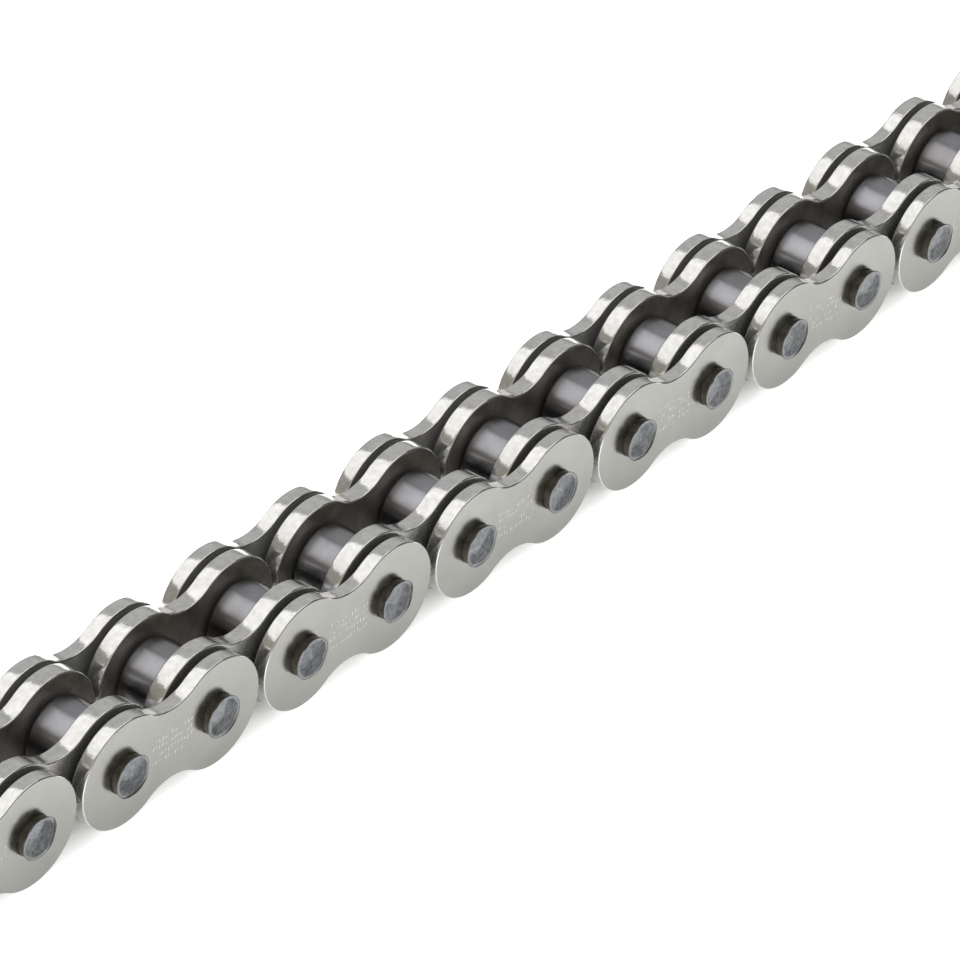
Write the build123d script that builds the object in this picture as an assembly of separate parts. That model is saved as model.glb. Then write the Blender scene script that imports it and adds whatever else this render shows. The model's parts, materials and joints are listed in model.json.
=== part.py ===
from build123d import *

import math
import os

# Riveted roller chain of 5/8 inch pitch with sealed joints, lying straight and standing on the
# edges of its plates. X runs along the chain, Y along the pins, Z up. The origin is under the
# middle link, on the surface that the chain stands on. All sizes are millimetres.

# Driving dimensions
PITCH = 15.875
INNER_LINKS = 9
OUTER_LINKS = INNER_LINKS - 1
JOINTS = 2 * INNER_LINKS

ROLLER_RADIUS = 5.08
ROLLER_LENGTH = 6.1
INNER_WIDTH = 6.5  # between the two inner plates
INNER_PLATE = 2.38  # thickness
OUTER_PLATE = 1.98  # thickness
SEAL_GAP = 0.95  # between an inner and an outer plate
PIN_STANDOUT = 1.3  # from the outer plate to the end of the pin

INNER_LOBE = 7.6  # radius of an inner plate's round ends
OUTER_LOBE = 7.45  # radius of an outer plate's round ends
WAIST = 5.05  # half height of both plates at their middle
PLATE_EDGE = 0.2  # rounding along the edges of the plates

PIN_RADIUS = 2.6
PIN_CLEARANCE = 0.05  # running fit of the pin in the bush
BUSH_WALL = 1.1
BUSH_STANDOUT = 0.3  # from the inner plate to the end of the bush
ROLLER_CLEARANCE = 0.08  # running fit of the roller on the bush
END_CHAMFER = 0.2  # on the ends of bushes and rollers

HEAD_FLARE = 0.2  # how far a staked pin end spreads past the shank
HEAD_HEIGHT = 0.8  # length of the staked end
HEAD_BEVEL = 0.3  # round the end face
STAKE_DEPTH = 0.16  # depth of the four staking marks
STAKE_RADIUS = 1.5  # of the round-nosed tool that leaves them

RING_INNER = 3.9  # inner radius of a seal ring
RING_OUTER = 5.3  # outer radius of a seal ring
RING_CLEARANCE = 0.05  # between the seal ring and the inner plate
RING_EDGE = 0.3  # rounding of the seal ring's section

# Distances from the middle of the chain, along Y
INNER_FACE = INNER_WIDTH / 2
INNER_BACK = INNER_FACE + INNER_PLATE
OUTER_FACE = INNER_BACK + SEAL_GAP
OUTER_BACK = OUTER_FACE + OUTER_PLATE
PIN_END = OUTER_BACK + PIN_STANDOUT
BUSH_END = INNER_BACK + BUSH_STANDOUT

# Radii that follow from the fits
BUSH_BORE = PIN_RADIUS + PIN_CLEARANCE
BUSH_RADIUS = BUSH_BORE + BUSH_WALL
ROLLER_BORE = BUSH_RADIUS + ROLLER_CLEARANCE

AXIS_HEIGHT = INNER_LOBE  # the inner plates stand on the surface
SIDES = (-1, 1)
ALONG_Y = Rotation(-90, 0, 0)  # turns a shape made along Z so that it points along +Y


def joint_x(joint):
    """Place along the chain of a joint, counted from 0 at the left end."""
    return (joint - (JOINTS - 1) / 2) * PITCH


def plate_outline(lobe):
    """Two round lobes a pitch apart, joined by a concave waist arc that is tangent to both."""
    half = PITCH / 2
    waist_arc = (half**2 + WAIST**2 - lobe**2) / (2 * (lobe - WAIST))
    reach = lobe / (lobe + waist_arc)
    tangent_x = half * (1 - reach)
    tangent_z = (WAIST + waist_arc) * reach
    with BuildSketch() as outline:
        with BuildLine():
            ThreePointArc((-tangent_x, tangent_z), (0, WAIST), (tangent_x, tangent_z))
            ThreePointArc((tangent_x, tangent_z), (half + lobe, 0), (tangent_x, -tangent_z))
            ThreePointArc((tangent_x, -tangent_z), (0, -WAIST), (-tangent_x, -tangent_z))
            ThreePointArc((-tangent_x, -tangent_z), (-half - lobe, 0), (-tangent_x, tangent_z))
        make_face()
    return outline.sketch


def plate(lobe, thickness, hole_radius):
    """One link plate, flat on the XY plane, with rounded outer edges and two pin or bush holes."""
    body = extrude(plate_outline(lobe), thickness)
    rims = body.faces().filter_by(Axis.Z).edges()
    body = fillet(rims, PLATE_EDGE)
    for side in SIDES:
        hole = Cylinder(hole_radius, 3 * thickness)
        body -= Pos(side * PITCH / 2, 0, 0) * hole
    return body.solids()[0]


def plate_pair(one_plate, near_face, thickness):
    """The front and back plates of a link, upright, with their near faces on both sides of Y = 0."""
    back = Pos(0, near_face, 0) * ALONG_Y * one_plate
    front = Pos(0, -near_face - thickness, 0) * ALONG_Y * one_plate
    return [front, back]


def tube(outer, bore, length):
    """A tube along Y about the origin, chamfered round the outside of both ends."""
    half = length / 2
    with BuildSketch(Plane.XZ) as section:
        with BuildLine():
            Polyline(
                (bore, -half),
                (outer - END_CHAMFER, -half),
                (outer, -half + END_CHAMFER),
                (outer, half - END_CHAMFER),
                (outer - END_CHAMFER, half),
                (bore, half),
                close=True,
            )
        make_face()
    return ALONG_Y * revolve(section.sketch, Axis.Z).solids()[0]


def pin():
    """A pin along Y about the origin, staked over at both ends, with four staking marks in each."""
    neck = PIN_END - HEAD_HEIGHT
    head = PIN_RADIUS + HEAD_FLARE
    with BuildSketch(Plane.XZ) as section:
        with BuildLine():
            Polyline(
                (0, -PIN_END),
                (head - HEAD_BEVEL, -PIN_END),
                (head, -PIN_END + HEAD_BEVEL),
                (PIN_RADIUS, -neck),
                (PIN_RADIUS, neck),
                (head, PIN_END - HEAD_BEVEL),
                (head - HEAD_BEVEL, PIN_END),
                (0, PIN_END),
                close=True,
            )
        make_face()
    shank = revolve(section.sketch, Axis.Z)
    tool = Cylinder(STAKE_RADIUS, 2 * head, rotation=(0, 90, 0))
    for side in SIDES:
        for quarter in range(4):
            place = Pos(0, head, side * (PIN_END + STAKE_RADIUS - STAKE_DEPTH))
            shank -= Rotation(0, 0, 45 + 90 * quarter) * place * tool
    return ALONG_Y * shank.solids()[0]


def seal_ring():
    """A rubber ring squeezed flat on its two faces, along Z from 0."""
    height = SEAL_GAP - RING_CLEARANCE
    middle = (RING_INNER + RING_OUTER) / 2
    with BuildSketch(Plane.XZ) as section:
        with Locations((middle, height / 2)):
            RectangleRounded(RING_OUTER - RING_INNER, height, RING_EDGE)
    return revolve(section.sketch, Axis.Z).solids()[0]


def seal_rings(one_ring):
    """The two seal rings on one pin, each lying against its outer plate."""
    back = Pos(0, OUTER_FACE, 0) * Rotation(90, 0, 0) * one_ring
    front = Pos(0, -OUTER_FACE, 0) * ALONG_Y * one_ring
    return [front, back]


def placed(solids, x):
    return [Pos(x, 0, AXIS_HEIGHT) * solid for solid in solids]


def write(name, solids):
    export_step(Compound(children=solids), f"parts/{name}.step")


inner_plates = plate_pair(plate(INNER_LOBE, INNER_PLATE, BUSH_RADIUS), INNER_FACE, INNER_PLATE)
outer_plates = plate_pair(plate(OUTER_LOBE, OUTER_PLATE, PIN_RADIUS), OUTER_FACE, OUTER_PLATE)
bush = tube(BUSH_RADIUS, BUSH_BORE, 2 * BUSH_END)
roller = tube(ROLLER_RADIUS, ROLLER_BORE, ROLLER_LENGTH)
one_pin = pin()
ring_pair = seal_rings(seal_ring())

os.makedirs("parts", exist_ok=True)

for link in range(INNER_LINKS):
    first = 2 * link
    ends = (joint_x(first), joint_x(first + 1))
    number = link + 1
    write(f"inner_plates_{number}", placed(inner_plates, sum(ends) / 2))
    write(f"bushes_{number}", [solid for x in ends for solid in placed([bush], x)])
    for roller_number, x in enumerate(ends, first + 1):
        write(f"roller_{roller_number:02d}", placed([roller], x))

for link in range(OUTER_LINKS):
    first = 2 * link + 1
    ends = (joint_x(first), joint_x(first + 1))
    number = link + 1
    write(f"outer_plates_{number}", placed(outer_plates, sum(ends) / 2))
    write(f"pins_{number}", [solid for x in ends for solid in placed([one_pin], x)])
    write(f"seal_rings_{number}", [solid for x in ends for solid in placed(ring_pair, x)])
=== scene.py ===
import json
import math
import random

import bmesh
import bpy
import numpy as np
from mathutils import Matrix, Vector

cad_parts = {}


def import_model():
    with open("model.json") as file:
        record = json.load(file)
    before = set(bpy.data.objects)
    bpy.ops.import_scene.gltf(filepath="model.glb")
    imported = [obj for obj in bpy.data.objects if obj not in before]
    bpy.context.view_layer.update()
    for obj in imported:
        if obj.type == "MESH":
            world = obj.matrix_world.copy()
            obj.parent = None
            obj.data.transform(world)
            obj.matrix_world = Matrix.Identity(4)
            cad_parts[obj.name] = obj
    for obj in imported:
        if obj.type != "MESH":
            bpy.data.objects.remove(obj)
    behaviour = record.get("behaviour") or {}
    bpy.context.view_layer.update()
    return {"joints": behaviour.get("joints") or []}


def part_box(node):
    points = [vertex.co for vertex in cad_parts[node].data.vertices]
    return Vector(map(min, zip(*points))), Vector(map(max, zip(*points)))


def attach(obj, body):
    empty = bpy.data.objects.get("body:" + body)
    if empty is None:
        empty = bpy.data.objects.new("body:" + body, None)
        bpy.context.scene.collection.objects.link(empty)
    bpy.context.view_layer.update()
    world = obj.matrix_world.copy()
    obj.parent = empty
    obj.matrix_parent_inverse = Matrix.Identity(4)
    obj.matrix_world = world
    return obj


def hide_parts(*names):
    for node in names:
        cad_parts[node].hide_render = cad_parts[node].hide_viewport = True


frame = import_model()

# ---------------------------------------------------------------- sizes, in metres
MM = 0.001
SPINS = sorted((j for j in frame["joints"] if j.get("continuous")), key=lambda j: j["pos_m"][0])
JOINT_X = [j["pos_m"][0] for j in SPINS]  # every pin or bush place, from left to right
AXIS_HEIGHT = SPINS[0]["pos_m"][2]
PITCH = JOINT_X[1] - JOINT_X[0]
INNER_LINKS = len(SPINS) // 2
OUTER_LINKS = INNER_LINKS - 1


def half_size(node, axis):
    low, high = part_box(node)
    return (high[axis] - low[axis]) / 2


INNER_LOBE = half_size("inner_plates_1", 0) - PITCH / 2
OUTER_LOBE = half_size("outer_plates_1", 0) - PITCH / 2
INNER_BACK = half_size("inner_plates_1", 1)
OUTER_BACK = half_size("outer_plates_1", 1)
PIN_END = half_size("pins_1", 1)
BUSH_END = half_size("bushes_1", 1)
BUSH_RADIUS = half_size("bushes_1", 2)
ROLLER_RADIUS = half_size("roller_01", 0)
ROLLER_END = half_size("roller_01", 1)
RING_OUTER = half_size("seal_rings_1", 2)
RING_BACK = half_size("seal_rings_1", 1)

WAIST = 5.05 * MM
INNER_PLATE = 2.38 * MM
OUTER_PLATE = 1.98 * MM
PIN_RADIUS = 2.6 * MM
BUSH_BORE = 2.65 * MM
ROLLER_BORE = 3.83 * MM
RING_INNER = 3.9 * MM
RING_HEIGHT = 0.9 * MM
ROLLED_EDGE = 0.21 * MM  # rounding that the press and the tumbling leave on the plates
HOLE_EDGE = 0.12 * MM
CROWN = 0.006 * MM  # how far a plate's rim bulges at its middle
ROLLER_BEVEL = 0.42 * MM  # the rollers' edges look worn round
ROLLER_ROUND = 0.2 * MM
BUSH_BEVEL = 0.2 * MM
BUSH_ROUND = 0.07 * MM

SIDES = (-1, 1)


# ---------------------------------------------------------------- mesh helpers
def mesh_object(name, build):
    """An object made by a function that fills a bmesh, placed at the origin, shaded smooth."""
    bm = bmesh.new()
    build(bm)
    bmesh.ops.remove_doubles(bm, verts=bm.verts, dist=1e-7)
    bmesh.ops.recalc_face_normals(bm, faces=bm.faces)
    mesh = bpy.data.meshes.new(name)
    bm.to_mesh(mesh)
    bm.free()
    mesh.shade_smooth()
    obj = bpy.data.objects.new(name, mesh)
    bpy.context.scene.collection.objects.link(obj)
    return obj


def skin(bm, loops, closed=True, slots=None):
    """Quads between neighbouring loops of points. slots gives each strip's material."""
    rows = [[bm.verts.new(p) for p in loop] for loop in loops]
    count = len(rows[0])
    last = count if closed else count - 1
    for i, (a, b) in enumerate(zip(rows, rows[1:])):
        for j in range(last):
            k = (j + 1) % count
            face = bm.faces.new((a[j], a[k], b[k], b[j]))
            if slots:
                face.material_index = slots[i]
    return rows


def arc(start, end, steps):
    return [start + (end - start) * i / steps for i in range(steps + 1)]


# ---------------------------------------------------------------- link plates
def half_outline(lobe, waist_steps=22, lobe_steps=96):
    """The right half of a plate's outline from its top middle to its bottom middle: points and normals."""
    half = PITCH / 2
    waist_arc = (half**2 + WAIST**2 - lobe**2) / (2 * (lobe - WAIST))
    turn = math.atan2(half, WAIST + waist_arc)
    points, normals = [], []
    for a in arc(0.0, turn, waist_steps)[:-1]:
        points.append((waist_arc * math.sin(a), WAIST + waist_arc * (1 - math.cos(a))))
        normals.append((-math.sin(a), math.cos(a)))
    start = math.pi / 2 + turn
    for a in arc(start, -start, lobe_steps):
        points.append((half + lobe * math.cos(a), lobe * math.sin(a)))
        normals.append((math.cos(a), math.sin(a)))
    for x, z in reversed(points[:waist_steps]):
        points.append((x, -z))
    for x, z in reversed(normals[:waist_steps]):
        normals.append((x, -z))
    return np.array(points), np.array(normals)


FACE, RIM, BORE, STAMP, INSIDE = range(5)  # materials of a plate, INSIDE on the face toward the rollers


def add_plate(bm, centre_x, lobe, hole, low_y, high_y):
    """One link plate between two distances along Y: flat faces, rolled edges, crowned rim and two holes."""
    points, normals = half_outline(lobe)
    half = PITCH / 2
    middle_steps = 14
    gap = WAIST - ROLLED_EDGE
    middle = [(0.0, z) for z in arc(-gap, gap, middle_steps)[1:-1]]
    edge_steps = 5
    for mirror in SIDES:
        def at(x, y, z):
            return (centre_x + mirror * x, y, AXIS_HEIGHT + z)

        # rim: rolled edge, crowned side, rolled edge
        section, slots = [], []
        for a in arc(0.0, math.pi / 2, edge_steps):
            section.append((-ROLLED_EDGE * (1 - math.sin(a)), low_y + ROLLED_EDGE * (1 - math.cos(a))))
        for step in (0.25, 0.5, 0.75):
            y = low_y + ROLLED_EDGE + step * (high_y - low_y - 2 * ROLLED_EDGE)
            section.append((CROWN * (1 - (2 * step - 1) ** 2), y))
        for a in arc(math.pi / 2, 0.0, edge_steps):
            section.append((-ROLLED_EDGE * (1 - math.sin(a)), high_y - ROLLED_EDGE * (1 - math.cos(a))))
        loops = [
            [at(x + out * nx, y, z + out * nz) for (x, z), (nx, nz) in zip(points, normals)]
            for out, y in section
        ]
        toward_face = [FACE] * 2
        skin(bm, loops, closed=False, slots=toward_face + [RIM] * (len(loops) - 5) + toward_face)

        # faces: rings from the hole out to the inset outline, then the middle line
        inset = points - ROLLED_EDGE * normals
        border = np.array([tuple(p) for p in inset] + middle)
        from_hole = border - np.array((half, 0.0))
        direction = from_hole / np.linalg.norm(from_hole, axis=1)[:, None]
        lip = np.array((half, 0.0)) + (hole + HOLE_EDGE) * direction
        for y, inward in ((low_y, 1), (high_y, -1)):
            rings = []
            for share in (0.0, 0.06, 0.2, 0.45, 0.75, 0.94, 1.0):
                ring = lip + share * (border - lip)
                rings.append([at(x, y, z) for x, z in ring])
            toward_roller = abs(y) < (abs(low_y) + abs(high_y)) / 2
            kind = INSIDE if toward_roller else FACE
            skin(bm, rings, slots=[kind] * (len(rings) - 1))

        # hole: rounded mouths and wall
        mouths = []
        for a in arc(0.0, math.pi / 2, 3):
            mouths.append((HOLE_EDGE * (1 - math.sin(a)), low_y + HOLE_EDGE * (1 - math.cos(a))))
        for a in arc(math.pi / 2, 0.0, 3):
            mouths.append((HOLE_EDGE * (1 - math.sin(a)), high_y - HOLE_EDGE * (1 - math.cos(a))))
        loops = []
        for out, y in mouths:
            ring = np.array((half, 0.0)) + (hole + out) * direction
            loops.append([at(x, y, z) for x, z in ring])
        skin(bm, loops, slots=[BORE] * (len(loops) - 1))


STAMP_ROWS = (1.75 * MM, 0.75 * MM, -0.35 * MM, -1.45 * MM)  # heights above the pins' axis
STAMP_COLUMNS = range(-6, 7)
STAMP_STEP = 0.55 * MM
STAMP_GAPS = 0.25  # share of the strokes that are left out
STAMP_LEAN = 1.25  # of a stroke, in radians from the chain's length
STAMP_HEIGHT = 0.02 * MM


def add_stamp(bm, centre_x, y, seed):
    """Rows of short plain strokes pressed into the middle of a plate: marks with no letters in them."""
    chance = random.Random(seed)
    side = math.copysign(1, y)
    for row in STAMP_ROWS:
        for column in STAMP_COLUMNS:
            if chance.random() < STAMP_GAPS:
                continue
            x = centre_x + STAMP_STEP * column + chance.uniform(-0.1, 0.1) * MM
            z = AXIS_HEIGHT + row + chance.uniform(-0.2, 0.2) * MM
            lean = STAMP_LEAN + chance.uniform(-0.4, 0.4)
            half_length = chance.uniform(0.16, 0.42) * MM
            half_width = chance.uniform(0.035, 0.055) * MM
            along, across = (math.cos(lean), math.sin(lean)), (-math.sin(lean), math.cos(lean))
            base = []
            for u, v in ((half_length, 0), (0, half_width), (-half_length, 0), (0, -half_width)):
                corner_x = x + u * along[0] + v * across[0]
                corner_z = z + u * along[1] + v * across[1]
                base.append(bm.verts.new((corner_x, y, corner_z)))
            top = bm.verts.new((x, y + side * STAMP_HEIGHT, z))
            for i in range(4):
                bm.faces.new((base[i], base[(i + 1) % 4], top)).material_index = STAMP


def plate_pair(name, link_x, lobe, hole, near, far, stamp_seed=None):
    def build(bm):
        add_plate(bm, link_x, lobe, hole, -far, -near)
        add_plate(bm, link_x, lobe, hole, near, far)
        if stamp_seed is not None:
            for side in SIDES:
                add_stamp(bm, link_x, side * far, 2 * stamp_seed + side)

    return mesh_object(name, build)


# ---------------------------------------------------------------- turned parts
def add_turned(bm, x, profile, segments):
    """A closed profile of (radius, y) points turned about the pin axis at x."""
    loops = []
    for radius, y in profile:
        angles = [2 * math.pi * i / segments for i in range(segments)]
        loops.append([(x + radius * math.cos(a), y, AXIS_HEIGHT + radius * math.sin(a)) for a in angles])
    skin(bm, loops + loops[:1])


def rounded(corners, radius, steps=4):
    """The corners of a closed profile, each replaced by a small round of that radius."""
    out = []
    count = len(corners)
    for i in range(count):
        p = Vector(corners[i])
        before = (Vector(corners[i - 1]) - p).normalized()
        after = (Vector(corners[(i + 1) % count]) - p).normalized()
        start, end = p + before * radius, p + after * radius
        for s in arc(0.0, 1.0, steps):
            out.append(tuple((1 - s) ** 2 * start + 2 * s * (1 - s) * p + s**2 * end))
    return out


def tube_profile(bore, outer, end, bevel, radius):
    """Half the section of a tube with bevelled and rounded outer edges, as (radius, y) points."""
    corners = [
        (bore, -end),
        (outer - bevel, -end),
        (outer, -end + bevel),
        (outer, end - bevel),
        (outer - bevel, end),
        (bore, end),
    ]
    return rounded(corners, radius)


def roller(name, x):
    profile = tube_profile(ROLLER_BORE, ROLLER_RADIUS, ROLLER_END, ROLLER_BEVEL, ROLLER_ROUND)
    return mesh_object(name, lambda bm: add_turned(bm, x, profile, 128))


def bushes(name, places):
    profile = tube_profile(BUSH_BORE, BUSH_RADIUS, BUSH_END, BUSH_BEVEL, BUSH_ROUND)

    def build(bm):
        for x in places:
            add_turned(bm, x, profile, 96)

    return mesh_object(name, build)


def seal_rings(name, places):
    """Rings with a four-lobed section, squeezed between the plates."""
    middle = (RING_INNER + RING_OUTER) / 2
    half_width = (RING_OUTER - RING_INNER) / 2
    groove = 0.16  # depth of the grooves between the lobes, as a share of the section
    squareness = 0.62  # 1 is an ellipse, 0 a rectangle
    steps = 32

    def section(centre_y):
        points = []
        for i in range(steps):
            a = 2 * math.pi * i / steps
            size = 1 - groove * (1 + math.cos(4 * a)) / 2
            c, s = math.cos(a), math.sin(a)
            u = math.copysign(abs(c) ** squareness, c) * size
            v = math.copysign(abs(s) ** squareness, s) * size
            points.append((middle + half_width * u, centre_y + RING_HEIGHT / 2 * v))
        return points

    def build(bm):
        for x in places:
            for side in SIDES:
                add_turned(bm, x, section(side * (RING_BACK - RING_HEIGHT / 2)), 72)

    return mesh_object(name, build)


# ---------------------------------------------------------------- pins
SIDE, END = 0, 1
END_RADIUS = 2.78 * MM  # the flat of a riveted end
END_EDGE = 0.09 * MM  # rounding between the side and the end
LIP = 0.42 * MM  # width of the worn lip round the end
LIP_DROP = 0.05 * MM
END_SHIFT = 0.22 * MM  # how far the riveted metal is pushed toward the notch
NOTCH_ANGLE = math.radians(129)  # where the staking tool bites deepest
WORN_WIDTH = 0.6  # of the flattened side round the notch, in radians
BITE_WIDTH = 0.2  # of the three shallow bites, in radians
PIN_FLARE = 1.3  # above 1, a pin widens more and more toward its end
PIN_START = 0.3 * MM  # how far inside the plate the visible side of a pin begins
FACET_BLEND = 0.02 * MM  # softness of the ridges between facets
# width of the painted highlight along the ridges between facets
RIDGE_WIDTH = 0.005 * MM
# how light the lip is painted: partly real wear, partly painted highlight
LIP_WEAR_AND_HIGHLIGHT = 0.62


def bell(x, width):
    return math.exp(-((x / width) ** 2))


def ease(x, low, high):
    """Smooth step from 0 at low to 1 at high."""
    t = min(1.0, max(0.0, (x - low) / (high - low)))
    return t * t * (3 - 2 * t)


def turn_between(a, b):
    return math.remainder(a - b, 2 * math.pi)


class StakedEnd:
    """One riveted pin end: its outline, its facets, its worn lip and its painted highlights, different on
    every pin.
    """

    def __init__(self, chance):
        self.notch = NOTCH_ANGLE + chance.uniform(-0.14, 0.14)
        self.notch_depth = chance.uniform(0.12, 0.32) * MM
        self.notch_width = chance.uniform(0.13, 0.24)
        self.worn_side = chance.uniform(0.14, 0.26) * MM
        self.square = chance.uniform(0.016, 0.03)
        self.bites = [(self.notch + n * math.pi / 2, chance.uniform(0.0, 0.07) * MM) for n in (1, 2, 3)]
        self.ripple = [(n, chance.uniform(0.003, 0.009), chance.uniform(0, 2 * math.pi)) for n in (2, 3, 5)]
        centre_u, centre_v = (way * chance.uniform(0.2, 0.8) * MM for way in SIDES)
        start = self.notch + chance.uniform(-0.7, 0.7)
        self.facets = []
        for i in range(4):
            direction = start + (i + chance.uniform(-0.25, 0.25)) * math.pi / 2
            slope = chance.uniform(0.02, 0.08)
            # painted highlight: facets that face the notch side are painted lighter, on top of a little
            # random tone
            shine = chance.uniform(0.0, 0.12) + 0.5 * max(0.0, math.cos(direction - self.notch))
            self.facets.append((direction, slope, shine, centre_u, centre_v))

    def outline(self, a):
        r = 1 - self.square * (1 - math.cos(4 * (a - self.notch)))
        r += sum(size * math.cos(n * a + phase) for n, size, phase in self.ripple)
        turn = turn_between(a, self.notch)
        r = END_RADIUS * r + END_SHIFT * math.cos(turn)
        r = r - self.worn_side * bell(turn, WORN_WIDTH) - self.notch_depth * bell(turn, self.notch_width)
        return r - sum(deep * bell(turn_between(a, at), BITE_WIDTH) for at, deep in self.bites)

    def relief(self, u, v):
        """How far the end is pressed in at a place, and how light it is painted there: painted highlights on
        the facets that face the notch and along the ridges.
        """
        planes = []
        for direction, slope, shine, cu, cv in self.facets:
            planes.append((((u - cu) * math.cos(direction) + (v - cv) * math.sin(direction)) * slope, shine))
        planes.sort(reverse=True)
        gap = planes[0][0] - planes[1][0]
        blend = 0.5 * bell(gap, FACET_BLEND)
        shine = (1 - blend) * planes[0][1] + blend * planes[1][1]
        # painted highlight along the ridges between facets
        return planes[0][0], shine + 0.2 * bell(gap, RIDGE_WIDTH)


def add_pin(bm, x, chance, segments=144):
    """A pin riveted at both ends: a side that flares a little and a notched, facetted end. Each point of its
    loops is (radius, y, angle, wear and painted highlight)."""
    wear_and_painted_highlight = bm.verts.layers.float["wear_and_painted_highlight"]
    angles = [2 * math.pi * i / segments for i in range(segments)]
    rings, slots = [], []
    for side in SIDES:
        end = StakedEnd(chance)
        loops = []
        loops.append([(PIN_RADIUS, OUTER_BACK - PIN_START, a, 0.0) for a in angles])
        side_height = PIN_END - LIP_DROP - END_EDGE - OUTER_BACK
        for share in (0.0, 0.2, 0.4, 0.6, 0.8):
            loop = []
            for a in angles:
                radius = PIN_RADIUS + share**PIN_FLARE * (end.outline(a) + END_EDGE - PIN_RADIUS)
                loop.append((radius, OUTER_BACK + share * side_height, a, 0.0))
            loops.append(loop)
        for t in arc(0.0, math.pi / 2, 4):
            loop = []
            for a in angles:
                flat = end.outline(a)
                radius = flat + END_EDGE * math.cos(t)
                y = PIN_END - LIP_DROP - END_EDGE * (1 - math.sin(t))
                press = end.relief(flat * math.cos(a), flat * math.sin(a))[0] * math.sin(t)
                # the rounded edge next to the flat is painted lighter: worn lip and painted highlight
                loop.append((radius, y - press, a, 0.5 * ease(t, 1.0, 1.5)))
            loops.append(loop)
        corner = len(loops)
        for share in (0.96, 0.92, 0.88, 0.84, 0.78, 0.7, 0.6, 0.5, 0.4, 0.3, 0.2, 0.1, 0.03):
            loop = []
            for a in angles:
                flat = end.outline(a)
                radius = share * flat
                press, shine = end.relief(radius * math.cos(a), radius * math.sin(a))
                at_lip = ease(flat - radius, 0.0, LIP)
                # the lip is painted lighter: partly real wear, partly painted highlight
                lip = LIP_WEAR_AND_HIGHLIGHT * (1 - ease(flat - radius, 0.3 * LIP, 1.3 * LIP))
                loop.append((radius, PIN_END - LIP_DROP * (1 - at_lip) - press, a, max(lip, shine)))
            loops.append(loop)
        kinds = [SIDE] * (corner - 2) + [END] * (len(loops) - corner + 1)
        placed = [[(x + r * math.cos(a), side * y, AXIS_HEIGHT + r * math.sin(a), w) for r, y, a, w in loop]
                  for loop in loops]
        if side < 0:
            rings, slots = placed[::-1], kinds[::-1] + [SIDE]
        else:
            rings, slots = rings + placed, slots + kinds
    rows = skin(bm, [[point[:3] for point in ring] for ring in rings], slots=slots)
    for row, ring in zip(rows, rings):
        for vertex, point in zip(row, ring):
            vertex[wear_and_painted_highlight] = point[3]
    for row in (rows[0], rows[-1]):
        centre = bm.verts.new(sum((v.co for v in row), Vector()) / segments)
        centre[wear_and_painted_highlight] = row[0][wear_and_painted_highlight]
        for i in range(segments):
            bm.faces.new((row[i], row[(i + 1) % segments], centre)).material_index = END


def pins(name, places, seed):
    chance = random.Random(seed)

    def build(bm):
        bm.verts.layers.float.new("wear_and_painted_highlight")
        for x in places:
            add_pin(bm, x, chance)

    return mesh_object(name, build)


# ---------------------------------------------------------------- materials
class Nodes:
    """Short names for building a node tree."""

    def __init__(self, name):
        self.material = bpy.data.materials.new(name)
        self.material.use_nodes = True
        self.tree = self.material.node_tree
        self.shader = self.tree.nodes["Principled BSDF"]

    def new(self, kind, inputs=None, **settings):
        node = self.tree.nodes.new(kind)
        for key, value in settings.items():
            setattr(node, key, value)
        for key, value in (inputs or {}).items():
            if isinstance(value, bpy.types.NodeSocket):
                self.tree.links.new(value, node.inputs[key])
            else:
                node.inputs[key].default_value = value
        return node

    def link(self, source, socket):
        self.tree.links.new(source, self.shader.inputs[socket])

    def place(self, scale=(1, 1, 1)):
        where = self.new("ShaderNodeTexCoord").outputs["Object"]
        return self.new("ShaderNodeMapping", {"Vector": where, "Scale": scale}).outputs[0]

    def noise(self, scale, stretch=(1, 1, 1), detail=3.0):
        values = {"Vector": self.place(stretch), "Scale": scale, "Detail": detail, "Roughness": 0.55}
        return self.new("ShaderNodeTexNoise", values).outputs["Fac"]

    def ramp(self, value, low, high, a, b):
        values = {"Value": value, "From Min": low, "From Max": high, "To Min": a, "To Max": b}
        return self.new("ShaderNodeMapRange", values).outputs["Result"]

    def mix(self, factor, a, b):
        node = self.new("ShaderNodeMix", data_type="RGBA")
        for index, value in ((0, factor), (6, a), (7, b)):
            if isinstance(value, bpy.types.NodeSocket):
                self.tree.links.new(value, node.inputs[index])
            else:
                node.inputs[index].default_value = value
        return node.outputs[2]

    def bump(self, height, distance, strength=1.0, before=None):
        values = {"Height": height, "Distance": distance, "Strength": strength}
        if before is not None:
            values["Normal"] = before
        return self.new("ShaderNodeBump", values).outputs["Normal"]


def metal(name, dark, light, rough, grain_scale, bumps, metallic=1.0):
    """Bare or plated steel: colour and gloss that drift a little, and a list of bump layers."""
    n = Nodes(name)
    drift = n.noise(grain_scale, detail=4.0)
    n.link(n.mix(n.ramp(drift, 0.35, 0.65, 0, 1), dark, light), "Base Color")
    fine = n.noise(grain_scale * 6, detail=5.0)
    n.link(n.ramp(fine, 0.3, 0.7, *rough), "Roughness")
    n.shader.inputs["Metallic"].default_value = metallic
    normal = None
    for scale, stretch, distance, strength in bumps:
        normal = n.bump(n.noise(scale, stretch, detail=2.0), distance, strength, normal)
    if normal is not None:
        n.link(normal, "Normal")
    return n.material


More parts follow.
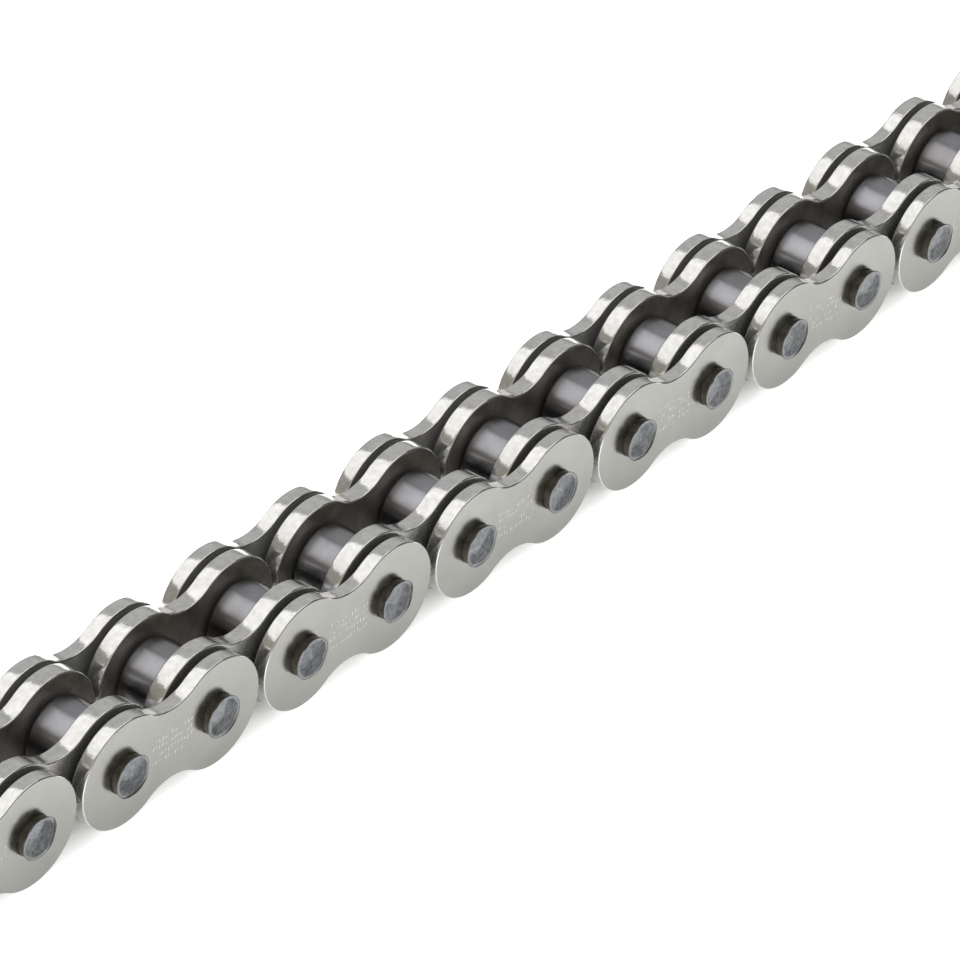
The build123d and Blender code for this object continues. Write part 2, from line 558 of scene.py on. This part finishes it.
# painted shade: the faces are the same nickel as the rims but get a far darker colour, so their reflection
# of the bright floor comes out grey
plate_face = metal("plate_face", (0.25, 0.248, 0.232, 1), (0.275, 0.272, 0.258, 1), (0.2, 0.27), 180,
                   [(900, (1, 1, 1), 0.00001, 0.2)])
plate_rim = metal("plate_rim", (0.57, 0.565, 0.55, 1), (0.67, 0.665, 0.65, 1), (0.09, 0.17), 1100,
                  [(1100, (1, 1, 1), 0.00003, 0.48), (3600, (1, 0.25, 1), 0.00001, 0.7)], metallic=0.9)
plate_bore = metal("plate_bore", (0.2, 0.19, 0.17, 1), (0.3, 0.29, 0.27, 1), (0.3, 0.4), 300, [])
stamp_mark = metal("stamp_mark", (0.5, 0.5, 0.475, 1), (0.7, 0.7, 0.665, 1), (0.3, 0.4), 900, [])
pin_side = metal("pin_side", (0.08, 0.074, 0.058, 1), (0.15, 0.139, 0.11, 1), (0.36, 0.48), 900,
                 [(2600, (1, 0.12, 1), 0.00001, 0.6)], metallic=0.72)
bush_steel = metal("bush_steel", (0.33, 0.33, 0.33, 1), (0.42, 0.42, 0.42, 1), (0.25, 0.35), 300, [])


def turned_steel(name):
    """Steel ground on a lathe: the fine grooves run round it, so highlights spread along its axis."""
    n = Nodes(name)
    drift = n.ramp(n.noise(160, detail=4.0), 0.35, 0.65, 0, 1)
    n.link(n.mix(drift, (0.262, 0.255, 0.265, 1), (0.33, 0.328, 0.355, 1)), "Base Color")
    n.link(n.ramp(n.noise(900, (0.1, 1, 0.1)), 0.3, 0.7, 0.2, 0.24), "Roughness")
    n.shader.inputs["Metallic"].default_value = 1.0
    n.shader.inputs["Anisotropic"].default_value = 0.95
    n.shader.inputs["Anisotropic Rotation"].default_value = 0.25
    n.link(n.new("ShaderNodeTangent", direction_type="RADIAL", axis="Y").outputs[0], "Tangent")
    return n.material


roller_steel = turned_steel("roller_steel")


def dull(name, dark, light, metallic, rough, scale):
    """A greased or oxidised face, part metal and part dull film. Where it is made lighter, as on the outer
    plates' inside faces, that lightness is painted light.
    """
    n = Nodes(name)
    n.link(n.mix(n.ramp(n.noise(scale, detail=5.0), 0.35, 0.65, 0, 1), dark, light), "Base Color")
    n.link(n.ramp(n.noise(3 * scale, detail=3.0), 0.3, 0.7, *rough), "Roughness")
    n.shader.inputs["Metallic"].default_value = metallic
    return n.material


plate_inside = dull("plate_inside", (0.24, 0.225, 0.195, 1), (0.36, 0.345, 0.305, 1), 0.72, (0.28, 0.4), 350)
plate_dull = dull("plate_dull", (0.33, 0.325, 0.305, 1), (0.38, 0.375, 0.355, 1), 0.72, (0.22, 0.3), 250)
# painted light: the outer plates' inside faces are lighter and less metallic than the others, so the narrow
# gap between the plates looks brighter
plate_back_painted_light = dull("plate_back_painted_light", (0.42, 0.415, 0.405, 1), (0.5, 0.495, 0.49, 1), 0.52, (0.3, 0.4), 250)


def worn_end_with_painted_highlights(name):
    """The end of a pin: dark blued steel, lighter on its lip, partly from real wear and partly as a painted
    highlight, with painted highlights on its ridges and on the facets that face the notch.
    """
    n = Nodes(name)
    wear_and_painted_highlight = n.new("ShaderNodeAttribute", attribute_name="wear_and_painted_highlight").outputs["Fac"]
    patches = n.ramp(n.noise(1500, detail=4.0), 0.3, 0.7, -0.16, 0.16)
    amount = n.new("ShaderNodeMath", {0: wear_and_painted_highlight, 1: patches}, operation="ADD", use_clamp=True).outputs[0]
    n.link(n.mix(amount, (0.029, 0.0325, 0.0355, 1), (0.255, 0.265, 0.28, 1)), "Base Color")
    n.link(n.ramp(n.noise(2500, detail=3.0), 0.3, 0.7, 0.2, 0.3), "Roughness")
    n.shader.inputs["Metallic"].default_value = 1.0
    n.link(n.bump(n.noise(1500, detail=2.0), 0.00001, 0.4), "Normal")
    return n.material


pin_end = worn_end_with_painted_highlights("pin_end")


def rubber(name):
    n = Nodes(name)
    grain = n.noise(2500, detail=2.0)
    n.link(n.mix(grain, (0.02, 0.022, 0.028, 1), (0.05, 0.052, 0.062, 1)), "Base Color")
    n.link(n.ramp(grain, 0.3, 0.7, 0.45, 0.65), "Roughness")
    n.link(n.bump(grain, 0.00001), "Normal")
    return n.material


seal_rubber = rubber("seal_rubber")


def finish_piece(piece, body, node, materials):
    for material in materials:
        piece.data.materials.append(material)
    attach(piece, body)
    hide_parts(node)


# ---------------------------------------------------------------- the chain
for link in range(INNER_LINKS):
    number = link + 1
    places = JOINT_X[2 * link : 2 * link + 2]
    body = f"inner_link_{number}"
    pair = plate_pair(f"inner_link_{number}_plates", sum(places) / 2, INNER_LOBE, BUSH_RADIUS,
                      INNER_BACK - INNER_PLATE, INNER_BACK)
    finish_piece(pair, body, f"inner_plates_{number}",
                 [plate_dull, plate_rim, plate_bore, stamp_mark, plate_inside])
    tubes = bushes(f"inner_link_{number}_bushes", places)
    finish_piece(tubes, body, f"bushes_{number}", [bush_steel])
    for at, x in enumerate(places, 2 * link + 1):
        turned = roller(f"turning_roller_{at:02d}", x)
        finish_piece(turned, f"roller_{at:02d}", f"roller_{at:02d}", [roller_steel])

for link in range(OUTER_LINKS):
    number = link + 1
    places = JOINT_X[2 * link + 1 : 2 * link + 3]
    body = f"outer_link_{number}"
    pair = plate_pair(f"outer_link_{number}_plates", sum(places) / 2, OUTER_LOBE, PIN_RADIUS,
                      OUTER_BACK - OUTER_PLATE, OUTER_BACK, stamp_seed=number)
    finish_piece(pair, body, f"outer_plates_{number}",
                 [plate_face, plate_rim, plate_bore, stamp_mark, plate_back_painted_light])
    staked = pins(f"outer_link_{number}_pins", places, 40 + number)
    finish_piece(staked, body, f"pins_{number}", [pin_side, pin_end])
    rings = seal_rings(f"outer_link_{number}_seals", places)
    finish_piece(rings, body, f"seal_rings_{number}", [seal_rubber])


# ---------------------------------------------------------------- floor, light and camera
def floor():
    """A white floor that glows, less so in a strip along the resting chain: a painted shadow in place of its
    deep shadow.
    """
    half = 6.0
    mesh = bpy.data.meshes.new("floor")
    corners = [(-half, -half, 0), (half, -half, 0), (half, half, 0), (-half, half, 0)]
    mesh.from_pydata(corners, [], [(0, 1, 2, 3)])
    obj = bpy.data.objects.new("floor", mesh)
    bpy.context.scene.collection.objects.link(obj)
    n = Nodes("floor_white")
    n.shader.inputs["Base Color"].default_value = (0.9, 0.9, 0.89, 1)
    n.shader.inputs["Roughness"].default_value = 0.9
    n.shader.inputs["Emission Color"].default_value = (1, 1, 1, 1)
    split = n.new("ShaderNodeSeparateXYZ", {0: n.place()})
    away = n.new("ShaderNodeMath", {0: split.outputs["Y"]}, operation="ABSOLUTE").outputs[0]
    along = n.new("ShaderNodeMath", {0: split.outputs["X"]}, operation="ABSOLUTE").outputs[0]
    # painted shadow: the glow is weakest under the chain and rises with the distance from it
    near = n.ramp(away, 4.5 * MM, 9 * MM, 0.2, 0.8)
    far = n.ramp(away, 10 * MM, 21 * MM, 0, 0.44)
    painted_shadow_strip = n.new("ShaderNodeMath", {0: near, 1: far}, operation="ADD").outputs[0]
    beyond = n.ramp(along, 140 * MM, 160 * MM, 0, 1.25)
    glow = n.new("ShaderNodeMath", {0: painted_shadow_strip, 1: beyond}, operation="MAXIMUM").outputs[0]
    n.link(glow, "Emission Strength")
    mesh.materials.append(n.material)


def softbox(name, toward, distance, width, height, power):
    """A rectangular lamp in a direction from the chain, facing it."""
    light = bpy.data.lights.new(name, "AREA")
    light.shape = "RECTANGLE"
    light.size, light.size_y = width, height
    light.energy = power
    obj = bpy.data.objects.new(name, light)
    direction = Vector(toward).normalized()
    obj.location = direction * distance
    obj.rotation_euler = direction.to_track_quat("Z", "Y").to_euler()
    bpy.context.scene.collection.objects.link(obj)


def world(left, right, front_left, front_right, overhead):
    """A grey room: darker in front than behind, and behind lighter toward +X, and darker at the horizon."""
    room = bpy.data.worlds.new("room")
    bpy.context.scene.world = room
    room.use_nodes = True
    tree = room.node_tree
    split = tree.nodes.new("ShaderNodeSeparateXYZ")
    tree.links.new(tree.nodes.new("ShaderNodeTexCoord").outputs["Generated"], split.inputs[0])

    def ramp(axis, low, high, a, b):
        node = tree.nodes.new("ShaderNodeMapRange")
        for name, value in (("From Min", low), ("From Max", high), ("To Min", a), ("To Max", b)):
            node.inputs[name].default_value = value
        tree.links.new(split.outputs[axis], node.inputs["Value"])
        return node.outputs["Result"]

    def mix(factor, a, b):
        node = tree.nodes.new("ShaderNodeMix")
        node.data_type = "RGBA"
        for index, value in ((0, factor), (6, a), (7, b)):
            if isinstance(value, bpy.types.NodeSocket):
                tree.links.new(value, node.inputs[index])
            else:
                node.inputs[index].default_value = value
        return node.outputs[2]

    horizon = 0.45  # brightness there, as a share of that higher up
    low_right = tuple(horizon * c for c in right[:3]) + (1,)
    toward_right = mix(ramp("Z", 0.0, 0.3, 0, 1), low_right, right)
    behind = mix(ramp("X", -0.7, 0.5, 0, 1), left, toward_right)
    front = mix(ramp("X", -0.8, -0.2, 0, 1), front_left, front_right)
    front = mix(ramp("Z", 0.6, 0.95, 0, 1), front, overhead)
    colour = mix(ramp("Y", 0.0, 0.35, 0, 1), front, behind)
    tree.links.new(colour, tree.nodes["Background"].inputs["Color"])


floor()
world(left=(0.36, 0.345, 0.305, 1), right=(0.6, 0.6, 0.6, 1),
      front_left=(0.6, 0.575, 0.51, 1), front_right=(0.07, 0.065, 0.055, 1),
      overhead=(0.8, 0.8, 0.8, 1))
softbox("back_softbox", (-0.31, 0.47, 0.825), 1.6, 1.5, 1.2, 5.7)
softbox("front_softbox", (-0.12, -0.85, 0.5), 2.0, 1.5, 0.9, 2.2)
softbox("top_strip", (0, -0.1, 1), 1.2, 2.4, 0.6, 4)


def camera():
    """A long lens that looks down along the chain, a little rolled."""
    lens = 236.3
    azimuth, elevation, roll = math.radians(52.8), math.radians(34.88), math.radians(3.95)
    aim = Vector((-12.48, 0.0, 7.21)) * MM
    distance = 782.0 * MM
    ahead = Vector((math.sin(azimuth) * math.cos(elevation), math.cos(azimuth) * math.cos(elevation),
                    -math.sin(elevation)))
    level = ahead.cross(Vector((0, 0, 1))).normalized()
    lifted = level.cross(ahead)
    right = level * math.cos(roll) + lifted * math.sin(roll)
    up = right.cross(ahead)
    data = bpy.data.cameras.new("camera")
    data.lens = lens
    data.sensor_width = 36
    data.clip_end = 50
    obj = bpy.data.objects.new("camera", data)
    turned = Matrix((right, up, -ahead)).transposed().to_4x4()
    obj.matrix_world = Matrix.Translation(aim - ahead * distance) @ turned
    bpy.context.scene.collection.objects.link(obj)
    bpy.context.scene.camera = obj


camera()
bpy.context.scene.view_settings.view_transform = "Standard"
